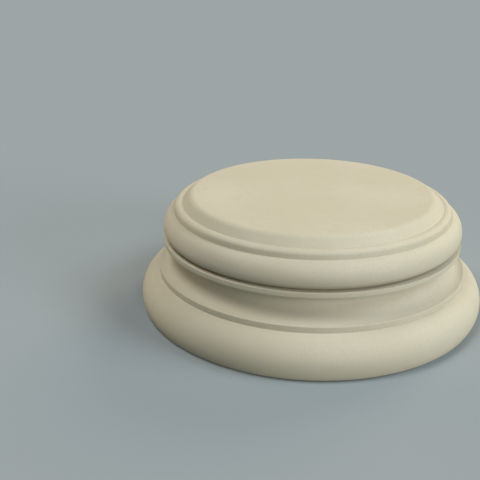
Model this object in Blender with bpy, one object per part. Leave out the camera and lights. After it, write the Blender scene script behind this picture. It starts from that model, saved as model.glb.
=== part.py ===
"""Round column base, turned in one piece: lower torus, fillet, scotia, fillet, upper torus,
collar and bevelled shaft seat. Metres, +Z up, origin at the centre of the flat underside."""

import math

import bmesh
import bpy

# Lower torus, cut off flat below its widest line, and the fillet that stands on its crown
BASE_RADIUS = 0.2000
LOWER_TORUS_SECTION = 0.0296
LOWER_TORUS_UNDERTURN = math.radians(32.7)
LOWER_FILLET_SETBACK = 0.0213
LOWER_FILLET_HEIGHT = 0.0068

# Scotia: the hollow between the two fillets, deepest at its throat
SCOTIA_HEIGHT = 0.0280
SCOTIA_DEPTH = 0.0180
SCOTIA_LOWER_SWEEP = 0.0180
SCOTIA_SOFFIT = 0.0015

# Fillet above the scotia, and the upper torus that stands on its ledge
UPPER_FILLET_SETBACK = 0.0065
UPPER_FILLET_HEIGHT = 0.0058
UPPER_TORUS_UNDERCUT = 0.0115
UPPER_TORUS_LOWER_SWEEP = 0.0124
UPPER_TORUS_SHOULDER = 0.0150
UPPER_TORUS_UPPER_SWEEP = 0.0177

# Collar above the upper torus: battered face, rounded edge, crowned top that dips to the seat
COLLAR_SETBACK = 0.0128
COLLAR_FACE = 0.0041
COLLAR_BATTER = math.radians(8)
COLLAR_EDGE_ROUND = 0.0045
COLLAR_SHOULDER_ANGLE = math.radians(53)
COLLAR_CROWN_ROUND = 0.0079
COLLAR_DIP = math.radians(16)

# Shaft seat: a flat disc with a bevelled and softly rounded edge
SEAT_HEIGHT = 0.0099
SEAT_BEVEL_ANGLE = math.radians(45)
SEAT_EDGE_ROUND = 0.0120

# Facets
SEGMENTS = 72
TORUS_STEP = math.radians(10)
SCOTIA_STEP = math.radians(19)
EDGE_STEP = math.radians(12)
MERGE_DISTANCE = 1e-6
SHARP_EDGE_ANGLE = math.radians(28)

# Finish: pale cream cast stone
STONE_COLOUR = (0.66, 0.61, 0.47, 1.0)
STONE_ROUGHNESS = 0.75
STONE_METALLIC = 0.0


def clear_scene():
    for old in list(bpy.data.objects):
        bpy.data.objects.remove(old, do_unlink=True)


def arc(centre, across, up, start, end, step):
    """Points of an elliptical arc in the profile plane, both ends included."""
    count = max(1, math.ceil(abs(end - start) / step))
    angles = [start + (end - start) * i / count for i in range(count + 1)]
    return [(centre[0] + across * math.cos(a), centre[1] + up * math.sin(a)) for a in angles]


def rolled_edge(begin, radius, start, end):
    """Points of a round that begins at a point, where its face looks out at the start angle."""
    centre = (begin[0] - radius * math.cos(start), begin[1] - radius * math.sin(start))
    return arc(centre, radius, radius, start, end, EDGE_STEP)


def lower_torus():
    """Bead of one radius, from the flat underside up to the face of the fillet on its crown."""
    radius = LOWER_TORUS_SECTION
    centre = (BASE_RADIUS - radius, radius * math.sin(LOWER_TORUS_UNDERTURN))
    head = math.acos(1.0 - LOWER_FILLET_SETBACK / radius)
    below = arc(centre, radius, radius, -LOWER_TORUS_UNDERTURN, 0.0, TORUS_STEP)
    above = arc(centre, radius, radius, 0.0, head, TORUS_STEP)
    return below + above[1:]


def scotia(foot, head):
    """Hollow in two sweeps that meet at the throat, with a narrow soffit under the head."""
    level = foot[1] + SCOTIA_LOWER_SWEEP
    soffit = head[0] - SCOTIA_SOFFIT
    across = soffit - (foot[0] - SCOTIA_DEPTH)
    lower = arc((foot[0], level), SCOTIA_DEPTH, SCOTIA_LOWER_SWEEP, -math.pi / 2, -math.pi, SCOTIA_STEP)
    upper = arc((soffit, level), across, head[1] - level, math.pi, math.pi / 2, SCOTIA_STEP)
    return lower + upper[1:] + [head]


def upper_torus(ledge):
    """Bead that turns in fast to the ledge below it and slowly to the collar above it."""
    level = ledge[1] + UPPER_TORUS_LOWER_SWEEP
    under = (ledge[0] - UPPER_TORUS_UNDERCUT, level)
    shoulder = (ledge[0] - UPPER_TORUS_SHOULDER, level)
    head = math.acos(1.0 - COLLAR_SETBACK / UPPER_TORUS_SHOULDER)
    below = arc(under, UPPER_TORUS_UNDERCUT, UPPER_TORUS_LOWER_SWEEP, -math.pi / 2, 0.0, TORUS_STEP)
    above = arc(shoulder, UPPER_TORUS_SHOULDER, UPPER_TORUS_UPPER_SWEEP, 0.0, head, TORUS_STEP)
    return below + above[1:]


def collar(foot):
    """Battered face, rounded edge and crowned top, up to the foot of the seat."""
    run_in = COLLAR_FACE * math.sin(COLLAR_BATTER)
    run_up = COLLAR_FACE * math.cos(COLLAR_BATTER)
    brow = (foot[0] - run_in, foot[1] + run_up)
    edge = rolled_edge(brow, COLLAR_EDGE_ROUND, COLLAR_BATTER, COLLAR_SHOULDER_ANGLE)
    dip = math.pi / 2 + COLLAR_DIP
    crown = rolled_edge(edge[-1], COLLAR_CROWN_ROUND, COLLAR_SHOULDER_ANGLE, dip)
    return edge + crown[1:]


def seat(foot):
    """Bevel and rounded edge that lead up to the flat bearing face."""
    bevel_face = math.pi / 2 - SEAT_BEVEL_ANGLE
    bevel_rise = SEAT_HEIGHT - SEAT_EDGE_ROUND * (1.0 - math.sin(bevel_face))
    bevel_top = (foot[0] - bevel_rise / math.tan(SEAT_BEVEL_ANGLE), foot[1] + bevel_rise)
    return rolled_edge(bevel_top, SEAT_EDGE_ROUND, bevel_face, math.pi / 2)


def outline():
    """Half profile from the rim of the underside, up the outside, to the rim of the seat."""
    points = lower_torus()
    lower_fillet_top = (points[-1][0], points[-1][1] + LOWER_FILLET_HEIGHT)
    upper_fillet_face = lower_fillet_top[0] - UPPER_FILLET_SETBACK
    upper_fillet_foot = (upper_fillet_face, lower_fillet_top[1] + SCOTIA_HEIGHT)
    ledge = (upper_fillet_face, upper_fillet_foot[1] + UPPER_FILLET_HEIGHT)
    points += scotia(lower_fillet_top, upper_fillet_foot)
    points += [ledge]
    points += upper_torus(ledge)
    points += collar(points[-1])
    points += seat(points[-1])
    return points


def stone_material():
    material = bpy.data.materials.new("cast_stone")
    material.use_nodes = True
    shader = material.node_tree.nodes["Principled BSDF"]
    shader.inputs["Base Color"].default_value = STONE_COLOUR
    shader.inputs["Roughness"].default_value = STONE_ROUGHNESS
    shader.inputs["Metallic"].default_value = STONE_METALLIC
    return material


def turned_mesh(name, profile):
    """Spins the half profile round the Z axis and caps its two ends flat."""
    shape = bmesh.new()
    verts = [shape.verts.new((x, 0.0, z)) for x, z in profile]
    edges = [shape.edges.new(pair) for pair in zip(verts, verts[1:])]
    bmesh.ops.spin(
        shape, geom=verts + edges, cent=(0, 0, 0), axis=(0, 0, 1),
        angle=math.tau, steps=SEGMENTS, use_merge=True,
    )
    bmesh.ops.remove_doubles(shape, verts=shape.verts, dist=MERGE_DISTANCE)
    rims = [edge for edge in shape.edges if edge.is_boundary]
    bmesh.ops.holes_fill(shape, edges=rims, sides=SEGMENTS)
    bmesh.ops.recalc_face_normals(shape, faces=shape.faces)
    mesh = bpy.data.meshes.new(name)
    shape.to_mesh(mesh)
    shape.free()
    mesh.shade_smooth()
    mesh.set_sharp_from_angle(angle=SHARP_EDGE_ANGLE)
    return mesh


def make_column_base():
    mesh = turned_mesh("column_base", outline())
    mesh.materials.append(stone_material())
    base = bpy.data.objects.new("column_base", mesh)
    bpy.context.scene.collection.objects.link(base)
    return base


clear_scene()
make_column_base()
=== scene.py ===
"""Turned cast stone column base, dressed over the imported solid, with its floor, lamps and camera.
Metres, +Z up, origin at the centre of the flat underside."""

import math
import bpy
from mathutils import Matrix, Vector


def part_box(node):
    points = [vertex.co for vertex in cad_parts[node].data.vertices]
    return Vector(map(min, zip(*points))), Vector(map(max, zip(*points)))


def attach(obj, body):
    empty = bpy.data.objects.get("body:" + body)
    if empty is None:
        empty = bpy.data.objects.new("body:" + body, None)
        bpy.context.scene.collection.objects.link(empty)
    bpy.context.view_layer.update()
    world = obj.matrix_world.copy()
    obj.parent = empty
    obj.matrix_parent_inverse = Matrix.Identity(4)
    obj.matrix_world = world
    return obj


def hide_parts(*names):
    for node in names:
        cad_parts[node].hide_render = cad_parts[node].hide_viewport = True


bl_info = {
    "name": "Column Base",
    "version": (1, 0, 0),
    "blender": (4, 5, 0),
    "location": "View3D > Sidebar > Column Base",
    "description": "Turned cast stone column base with its stage",
    "category": "Object",
}

import bmesh
import bpy
from bpy.props import FloatProperty, FloatVectorProperty, IntProperty, PointerProperty
from bpy.types import Operator, Panel, PropertyGroup
from mathutils import Matrix, Vector

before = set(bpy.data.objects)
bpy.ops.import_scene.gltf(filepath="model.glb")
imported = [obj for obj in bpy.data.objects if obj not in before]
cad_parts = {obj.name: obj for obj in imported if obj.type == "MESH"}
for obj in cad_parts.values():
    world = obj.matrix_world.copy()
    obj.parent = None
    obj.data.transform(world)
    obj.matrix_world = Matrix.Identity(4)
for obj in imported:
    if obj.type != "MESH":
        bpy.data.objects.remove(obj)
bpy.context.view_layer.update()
BASE_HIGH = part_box("column_base")[1]

SAFE_MERGE = 1e-6
SHARP_EDGE_ANGLE = math.radians(32)
SENSOR_WIDTH = 36.0

# Steps of the profile's arcs, in the order in which each moulding is drawn
LOWER_TORUS_STEPS = (12, 24)
SCOTIA_STEPS = (18, 14)
UPPER_TORUS_STEPS = (18, 20)
COLLAR_STEPS = (6, 8)
SEAT_STEPS = 8
ARRIS_SEGMENTS = 4

# Scales of the stone's patterns, in waves for each metre
CLOUD_SCALE = 9.0
PATCH_SCALE = 34.0
SWELL_SCALE = 40.0
POLISH_SCALE = 55.0
SPECK_SCALE = 620.0
GRAIN_SCALE = 900.0

# Painted shade under the upper torus: heights above the ledge between which it sets in, and between
# which it fades
RECESS_SHADE_SETS_IN = (0.0002, 0.0010)
RECESS_SHADE_FADES = (0.0040, 0.0085)

# Tints of the softboxes
PLAIN = (1.0, 1.0, 1.0)
COOL = (0.8, 0.9, 1.0)
WARM = (1.0, 0.8, 0.6)

# Softboxes round the stage: azimuth from the front towards the right, elevation, strength, tint
KEY = (60, 10, 2.0, PLAIN)
SIDE = (90, 45, 1.6, COOL)
FRONT = (20, 30, 0.7, PLAIN)
BACK = (150, 30, 1.5, WARM)
TOP = (285, 70, 1.9, PLAIN)
EDGE = (240, 10, 1.1, WARM)
SOFTBOXES = (KEY, SIDE, FRONT, BACK, TOP, EDGE)


def length(label, description, default):
    """A size in metres that a user may change."""
    return FloatProperty(
        name=label, description=description, default=default, min=0.0,
        unit="LENGTH", subtype="DISTANCE", precision=4,
    )


def angle(label, description, degrees):
    """An angle that a user may change."""
    return FloatProperty(
        name=label, description=description, default=math.radians(degrees),
        unit="ROTATION", subtype="ANGLE",
    )


def colour(label, description, default):
    """A linear colour that a user may change."""
    return FloatVectorProperty(
        name=label, description=description, default=default, size=3, min=0.0, max=1.0,
        subtype="COLOR",
    )


class ColumnBaseProfile(PropertyGroup):
    """Sizes of the mouldings, from the bed up to the shaft seat"""

    radius: length("Radius", "Widest radius, on the lower torus", BASE_HIGH.x)
    lower_torus: length("Lower torus", "Section radius of the lower torus", 0.0296)
    underturn: angle("Underturn", "How far the lower torus turns under to the bed", 32.7)
    lower_setback: length("Lower setback", "From the widest line in to the lower fillet", 0.0213)
    lower_fillet: length("Lower fillet", "Height of the lower fillet", 0.0068)
    scotia_height: length("Scotia height", "Height of the hollow", 0.0280)
    scotia_depth: length("Scotia depth", "Depth of the hollow from the lower fillet", 0.0180)
    scotia_sweep: length("Scotia sweep", "Height of the lower sweep of the hollow", 0.0180)
    soffit: length("Soffit", "Flat strip under the upper fillet", 0.0015)
    upper_setback: length("Upper setback", "From the lower fillet in to the upper fillet", 0.0065)
    upper_fillet: length("Upper fillet", "Height of the upper fillet", 0.0058)
    undercut: length("Undercut", "How far the upper torus turns in below", 0.0115)
    lower_sweep: length("Lower sweep", "Height of the upper torus below its widest line", 0.0124)
    shoulder: length("Shoulder", "How far the upper torus turns in above", 0.0150)
    upper_sweep: length("Upper sweep", "Height of the full sweep above the widest line", 0.0177)
    collar_setback: length("Collar setback", "From the widest line in to the collar", 0.0128)
    collar_face: length("Collar face", "Length of the collar's battered face", 0.0041)
    collar_batter: angle("Collar batter", "Lean of the collar's face", 8.0)
    collar_round: length("Collar round", "Rounding of the collar's edge", 0.0045)
    collar_shoulder: angle("Collar shoulder", "Turn at which the edge runs into the crown", 53.0)
    crown_round: length("Crown round", "Rounding of the collar's crowned top", 0.0079)
    crown_dip: angle("Crown dip", "Fall of the crowned top to the seat", 16.0)
    seat_height: length("Seat height", "Height of the shaft seat", 0.0099)
    seat_bevel: angle("Seat bevel", "Slope of the seat's bevel", 45.0)
    seat_round: length("Seat round", "Rounding of the seat's edge", 0.0120)
    arris: length("Arris", "Softening of the fillets' edges", 0.0007)
    ledge_arris: length("Ledge arris", "Softening of the ledge under the upper torus", 0.0003)
    bed_arris: length("Bed arris", "Softening of the rim that meets the floor", 0.0014)
    turns: IntProperty(name="Turns", description="Facets round the axis", default=288, min=24)


class ColumnBaseStone(PropertyGroup):
    """Colours and surface of the cast stone"""

    body: colour("Body", "Colour of most of the stone", (0.448, 0.416, 0.307))
    pale: colour("Pale", "Colour of its lighter clouds", (0.474, 0.443, 0.337))
    deep: colour("Deep", "Colour of its darker clouds", (0.419, 0.385, 0.277))
    # Painted shade: a darker stone colour laid just above the ledge, where the upper torus overhangs
    # it
    recess_shade: colour("Recess", "Colour in the recess under the upper torus", (0.378, 0.348, 0.250))
    grain_depth: length("Grain depth", "Depth of the moulded grain", 0.00012)
    roughness: FloatProperty(
        name="Roughness", description="Mean roughness of the surface", default=0.78,
        min=0.0, max=1.0, subtype="FACTOR",
    )


class ColumnBaseStage(PropertyGroup):
    """Floor, light and camera"""

    floor_size: length("Floor size", "Width of the floor", 20.0)
    floor_colour: colour("Floor colour", "Colour of the floor", (0.245, 0.279, 0.286))
    backdrop: colour("Backdrop", "Colour seen past the floor's edge", (0.343, 0.387, 0.393))
    strength: FloatProperty(
        name="Strength", description="Strength of all softboxes", default=1.0, min=0.0,
    )
    softness: angle("Softness", "Width of each softbox as the object sees it", 28.0)
    camera_distance: length("Camera distance", "From the middle of the bed", 0.9575)
    camera_height: angle("Camera height", "Elevation of the camera above the bed", 25.86)
    camera_turn: angle("Camera turn", "Aim to the left of the axis", 5.54)
    camera_dip: angle("Camera dip", "Aim below level", 21.94)
    lens: FloatProperty(
        name="Lens", description="Focal length in millimetres", default=58.33, min=1.0,
        unit="CAMERA",
    )


def run_to(shape, start, x, z):
    """Straight run of the profile from a vertex to a point; gives the new vertex."""
    end = bmesh.ops.extrude_vert_indiv(shape, verts=[start])["verts"][0]
    end.co = (x, 0.0, z)
    return end


def sweep(shape, start, centre, turn, steps, rise=1.0):
    """Arc of the profile round a centre, stretched in height by rise; gives its last vertex."""
    about = Matrix.Translation((-centre[0], 0.0, -centre[1]))
    drawn = len(shape.verts)
    bmesh.ops.scale(shape, vec=(1.0, 1.0, 1.0 / rise), space=about, verts=[start])
    bmesh.ops.spin(
        shape, geom=[start], cent=(centre[0], 0.0, centre[1]), axis=(0.0, -1.0, 0.0),
        angle=turn, steps=steps, use_merge=False,
    )
    shape.verts.ensure_lookup_table()
    arc = shape.verts[drawn:]
    bmesh.ops.scale(shape, vec=(1.0, 1.0, rise), space=about, verts=[start] + arc)
    return arc[-1]


def roll(shape, start, radius, begin, end, steps):
    """Round that carries on from a face that looks out at the angle begin; gives its last vertex."""
    centre = (start.co.x - radius * math.cos(begin), start.co.z - radius * math.sin(begin))
    return sweep(shape, start, centre, end - begin, steps)


def soften(shape, corners, offset):
    """Rounds sharp corners of the profile by a small arris."""
    bmesh.ops.bevel(
        shape, geom=corners, offset=offset, offset_type="OFFSET", affect="VERTICES",
        segments=ARRIS_SEGMENTS, profile=0.5, material=-1, clamp_overlap=True,
    )


def draw_profile(shape, sizes):
    """Half profile from the middle of the bed, up the outside, to the middle of the seat."""
    arrises = []
    torus = sizes.lower_torus
    level = torus * math.sin(sizes.underturn)
    centre = (sizes.radius - torus, level)
    rim = centre[0] + torus * math.cos(sizes.underturn)
    head = math.acos(1.0 - sizes.lower_setback / torus)
    axis = shape.verts.new((0.0, 0.0, 0.0))
    bed_rim = run_to(shape, axis, rim, 0.0)
    widest = sweep(shape, bed_rim, centre, sizes.underturn, LOWER_TORUS_STEPS[0])
    foot = sweep(shape, widest, centre, head, LOWER_TORUS_STEPS[1])

    lip = run_to(shape, foot, foot.co.x, foot.co.z + sizes.lower_fillet)
    arrises.append(lip)
    throat_level = lip.co.z + sizes.scotia_sweep
    throat = lip.co.x - sizes.scotia_depth
    soffit_level = lip.co.z + sizes.scotia_height
    upper_face = lip.co.x - sizes.upper_setback
    soffit = upper_face - sizes.soffit
    upper_reach = soffit - throat
    upper_rise = soffit_level - throat_level
    into = sweep(
        shape, lip, (lip.co.x, throat_level), -math.pi / 2, SCOTIA_STEPS[0],
        sizes.scotia_sweep / sizes.scotia_depth,
    )
    out = sweep(
        shape, into, (soffit, throat_level), -math.pi / 2, SCOTIA_STEPS[1],
        upper_rise / upper_reach,
    )
    under = run_to(shape, out, upper_face, soffit_level)
    ledge = run_to(shape, under, upper_face, soffit_level + sizes.upper_fillet)
    arrises.append(under)

    bead_level = ledge.co.z + sizes.lower_sweep
    tuck = run_to(shape, ledge, upper_face - sizes.undercut, ledge.co.z)
    bead = sweep(
        shape, tuck, (upper_face - sizes.undercut, bead_level), math.pi / 2,
        UPPER_TORUS_STEPS[0], sizes.lower_sweep / sizes.undercut,
    )
    top = math.acos(1.0 - sizes.collar_setback / sizes.shoulder)
    collar_foot = sweep(
        shape, bead, (upper_face - sizes.shoulder, bead_level), top,
        UPPER_TORUS_STEPS[1], sizes.upper_sweep / sizes.shoulder,
    )

    brow = run_to(
        shape, collar_foot,
        collar_foot.co.x - sizes.collar_face * math.sin(sizes.collar_batter),
        collar_foot.co.z + sizes.collar_face * math.cos(sizes.collar_batter),
    )
    shoulder = roll(
        shape, brow, sizes.collar_round, sizes.collar_batter, sizes.collar_shoulder,
        COLLAR_STEPS[0],
    )
    seat_foot = roll(
        shape, shoulder, sizes.crown_round, sizes.collar_shoulder,
        math.pi / 2 + sizes.crown_dip, COLLAR_STEPS[1],
    )
    bevel_face = math.pi / 2 - sizes.seat_bevel
    bevel_rise = sizes.seat_height - sizes.seat_round * (1.0 - math.sin(bevel_face))
    bevel_top = run_to(
        shape, seat_foot,
        seat_foot.co.x - bevel_rise / math.tan(sizes.seat_bevel), seat_foot.co.z + bevel_rise,
    )
    seat_edge = roll(shape, bevel_top, sizes.seat_round, bevel_face, math.pi / 2, SEAT_STEPS)
    run_to(shape, seat_edge, 0.0, seat_edge.co.z)

    soften(shape, arrises, sizes.arris)
    soften(shape, [ledge], sizes.ledge_arris)
    soften(shape, [bed_rim], sizes.bed_arris)


def ledge_level(sizes):
    """Height of the ledge that the upper torus stands on."""
    head = math.acos(1.0 - sizes.lower_setback / sizes.lower_torus)
    crown = sizes.lower_torus * (math.sin(sizes.underturn) + math.sin(head))
    return crown + sizes.lower_fillet + sizes.scotia_height + sizes.upper_fillet


def turned(name, sizes):
    """Spins the half profile once round the axis into a closed shell."""
    shape = bmesh.new()
    draw_profile(shape, sizes)
    bmesh.ops.spin(
        shape, geom=shape.verts[:] + shape.edges[:], cent=(0.0, 0.0, 0.0),
        axis=(0.0, 0.0, 1.0), angle=math.tau, steps=sizes.turns, use_merge=True,
    )
    bmesh.ops.remove_doubles(shape, verts=shape.verts, dist=SAFE_MERGE)
    bmesh.ops.recalc_face_normals(shape, faces=shape.faces)
    mesh = bpy.data.meshes.new(name)
    shape.to_mesh(mesh)
    shape.free()
    mesh.shade_smooth()
    mesh.set_sharp_from_angle(angle=SHARP_EDGE_ANGLE)
    return mesh


def noise(nodes, links, where, scale, detail):
    """Noise node that reads a coordinate socket; gives its value socket."""
    node = nodes.new("ShaderNodeTexNoise")
    node.inputs["Scale"].default_value = scale
    node.inputs["Detail"].default_value = detail
    links.new(where, node.inputs["Vector"])
    return node.outputs["Fac"]


def blend(nodes, links, factor, first, second):
    """Colour mix of two sockets or constants by a factor socket; gives the result socket."""
    node = nodes.new("ShaderNodeMix")
    node.data_type = "RGBA"
    links.new(factor, node.inputs["Factor"])
    for value, socket in ((first, node.inputs[6]), (second, node.inputs[7])):
        if isinstance(value, bpy.types.NodeSocket):
            links.new(value, socket)
        else:
            socket.default_value = (*value, 1.0)
    return node.outputs[2]


def remap(nodes, links, value, low, high, to_low, to_high):
    """Map Range of a value socket with a smooth step; gives the result socket."""
    node = nodes.new("ShaderNodeMapRange")
    node.interpolation_type = "SMOOTHSTEP"
    links.new(value, node.inputs["Value"])
    node.inputs["From Min"].default_value = low
    node.inputs["From Max"].default_value = high
    node.inputs["To Min"].default_value = to_low
    node.inputs["To Max"].default_value = to_high
    return node.outputs["Result"]


def bump(nodes, links, height, distance, strength, under=None):
    """Bump node on a height socket, over another bump; gives the normal socket."""
    node = nodes.new("ShaderNodeBump")
    node.inputs["Distance"].default_value = distance
    node.inputs["Strength"].default_value = strength
    links.new(height, node.inputs["Height"])
    if under is not None:
        links.new(under, node.inputs["Normal"])
    return node.outputs["Normal"]


def recess_shade_mask(nodes, links, where, ledge):
    """Mask of the painted shade under the upper torus: none on the ledge, full above it, then
    fading.
    """
    apart = nodes.new("ShaderNodeSeparateXYZ")
    links.new(where, apart.inputs["Vector"])
    level = apart.outputs["Z"]
    both = nodes.new("ShaderNodeMath")
    both.operation = "MULTIPLY"
    sets_in, full = (ledge + rise for rise in RECESS_SHADE_SETS_IN)
    fades, gone = (ledge + rise for rise in RECESS_SHADE_FADES)
    links.new(remap(nodes, links, level, sets_in, full, 0.0, 1.0), both.inputs[0])
    links.new(remap(nodes, links, level, fades, gone, 1.0, 0.0), both.inputs[1])
    return both.outputs["Value"]


def cast_stone(looks, ledge):
    """Matt cream cast stone: clouds of tone, fine aggregate, a moulded grain, and painted shade
    under the upper torus.
    """
    material = bpy.data.materials.new("cast_stone")
    material.use_nodes = True
    nodes, links = material.node_tree.nodes, material.node_tree.links
    shader = nodes["Principled BSDF"]
    where = nodes.new("ShaderNodeTexCoord").outputs["Object"]

    clouds = remap(nodes, links, noise(nodes, links, where, CLOUD_SCALE, 3.0), 0.35, 0.65, 0.0, 1.0)
    patches = remap(nodes, links, noise(nodes, links, where, PATCH_SCALE, 4.0), 0.50, 0.78, 0.0, 1.0)
    specks = remap(nodes, links, noise(nodes, links, where, SPECK_SCALE, 2.0), 0.40, 0.75, 0.0, 0.6)
    tone = blend(nodes, links, clouds, looks.body, looks.pale)
    tone = blend(nodes, links, patches, tone, looks.body)
    tone = blend(nodes, links, specks, tone, looks.deep)
    # Painted shade: darkens the stone just above the ledge, under the upper torus's overhang
    tone = blend(nodes, links, recess_shade_mask(nodes, links, where, ledge), tone, looks.recess_shade)
    links.new(tone, shader.inputs["Base Color"])

    polish = remap(
        nodes, links, noise(nodes, links, where, POLISH_SCALE, 3.0), 0.3, 0.7,
        looks.roughness - 0.06, looks.roughness + 0.06,
    )
    links.new(polish, shader.inputs["Roughness"])
    shader.inputs["Specular IOR Level"].default_value = 0.25

    swell = bump(nodes, links, noise(nodes, links, where, SWELL_SCALE, 2.0), 0.0004, 0.15)
    grain = noise(nodes, links, where, GRAIN_SCALE, 3.0)
    surface = bump(nodes, links, grain, looks.grain_depth, 0.6, swell)
    links.new(surface, shader.inputs["Normal"])
    return material


def plain_floor(looks):
    """Matt floor of one pale tone."""
    material = bpy.data.materials.new("stage_floor")
    material.use_nodes = True
    shader = material.node_tree.nodes["Principled BSDF"]
    shader.inputs["Base Color"].default_value = (*looks.floor_colour, 1.0)
    shader.inputs["Roughness"].default_value = 0.9
    shader.inputs["Specular IOR Level"].default_value = 0.0
    return material


def place(name, data):
    """Object at the origin that carries the given data."""
    new = bpy.data.objects.new(name, data)
    bpy.context.scene.collection.objects.link(new)
    return new


class COLUMNBASE_OT_turn_stone(Operator):
    """Turn the column base in one piece and give it its cast stone"""

    bl_idname = "columnbase.turn_stone"
    bl_label = "Turn Stone"

    def execute(self, context):
        sizes = context.scene.column_base_profile
        mesh = turned("turned_stone", sizes)
        mesh.materials.append(cast_stone(context.scene.column_base_stone, ledge_level(sizes)))
        stone = place("turned_stone", mesh)
        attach(stone, "root")
        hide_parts("column_base")
        return {"FINISHED"}


class COLUMNBASE_OT_set_stage(Operator):
    """Lay the floor, hang the softboxes and set the camera"""

    bl_idname = "columnbase.set_stage"
    bl_label = "Set Stage"

    def execute(self, context):
        looks = context.scene.column_base_stage
        self.lay_floor(looks)
        self.hang_softboxes(looks)
        self.paint_backdrop(context.scene, looks)
        self.set_camera(context.scene, looks)
        return {"FINISHED"}

    def lay_floor(self, looks):
        """Wide floor under the bed."""
        shape = bmesh.new()
        bmesh.ops.create_grid(shape, x_segments=1, y_segments=1, size=looks.floor_size / 2)
        mesh = bpy.data.meshes.new("floor")
        shape.to_mesh(mesh)
        shape.free()
        mesh.materials.append(plain_floor(looks))
        place("floor", mesh)

    def hang_softboxes(self, looks):
        """Wide soft lamps, most of them on the right."""
        for number, (azimuth, elevation, strength, tint) in enumerate(SOFTBOXES, 1):
            round_axis, up = math.radians(azimuth), math.radians(elevation)
            towards = Vector((
                math.sin(round_axis) * math.cos(up),
                -math.cos(round_axis) * math.cos(up),
                math.sin(up),
            ))
            lamp = bpy.data.lights.new(f"softbox_{number}", "SUN")
            lamp.energy = strength * looks.strength
            lamp.color = tint
            lamp.angle = looks.softness
            box = place(f"softbox_{number}", lamp)
            box.rotation_euler = towards.to_track_quat("Z", "Y").to_euler()

    def paint_backdrop(self, scene, looks):
        """Plain tone past the floor's edge, which sheds no light of its own."""
        world = bpy.data.worlds.new("backdrop")
        world.use_nodes = True
        nodes, links = world.node_tree.nodes, world.node_tree.links
        ray = nodes.new("ShaderNodeLightPath")
        sky = nodes["Background"]
        sky.inputs["Color"].default_value = (*looks.backdrop, 1.0)
        links.new(ray.outputs["Is Camera Ray"], sky.inputs["Strength"])
        scene.world = world

    def set_camera(self, scene, looks):
        """Camera in front of the base, aimed so that it stands right of the middle."""
        view = bpy.data.cameras.new("camera")
        view.lens = looks.lens
        view.sensor_width = SENSOR_WIDTH
        camera = place("camera", view)
        camera.location = (
            0.0,
            -looks.camera_distance * math.cos(looks.camera_height),
            looks.camera_distance * math.sin(looks.camera_height),
        )
        camera.rotation_euler = (math.pi / 2 - looks.camera_dip, 0.0, looks.camera_turn)
        scene.camera = camera
        scene.view_settings.view_transform = "Standard"


class COLUMNBASE_PT_sidebar(Panel):
    """Steps and settings of the column base"""

    bl_label = "Column Base"
    bl_idname = "COLUMNBASE_PT_sidebar"
    bl_space_type = "VIEW_3D"
    bl_region_type = "UI"
    bl_category = "Column Base"

    def draw(self, context):
        layout = self.layout
        for step in STEPS:
            layout.operator(step.bl_idname)
        for label, group in (
            ("Mouldings", context.scene.column_base_profile),
            ("Stone", context.scene.column_base_stone),
            ("Stage", context.scene.column_base_stage),
        ):
            box = layout.box()
            box.label(text=label)
            for setting in group.bl_rna.properties:
                if setting.identifier not in {"rna_type", "name"}:
                    box.prop(group, setting.identifier)


GROUPS = {
    "column_base_profile": ColumnBaseProfile,
    "column_base_stone": ColumnBaseStone,
    "column_base_stage": ColumnBaseStage,
}
STEPS = (COLUMNBASE_OT_turn_stone, COLUMNBASE_OT_set_stage)
CLASSES = (*GROUPS.values(), *STEPS, COLUMNBASE_PT_sidebar)


def register():
    for item in CLASSES:
        bpy.utils.register_class(item)
    for name, group in GROUPS.items():
        setattr(bpy.types.Scene, name, PointerProperty(type=group))


def unregister():
    for name in GROUPS:
        delattr(bpy.types.Scene, name)
    for item in reversed(CLASSES):
        bpy.utils.unregister_class(item)


def main():
    register()
    bpy.ops.columnbase.turn_stone()
    bpy.ops.columnbase.set_stage()


if __name__ == "__main__":
    main()
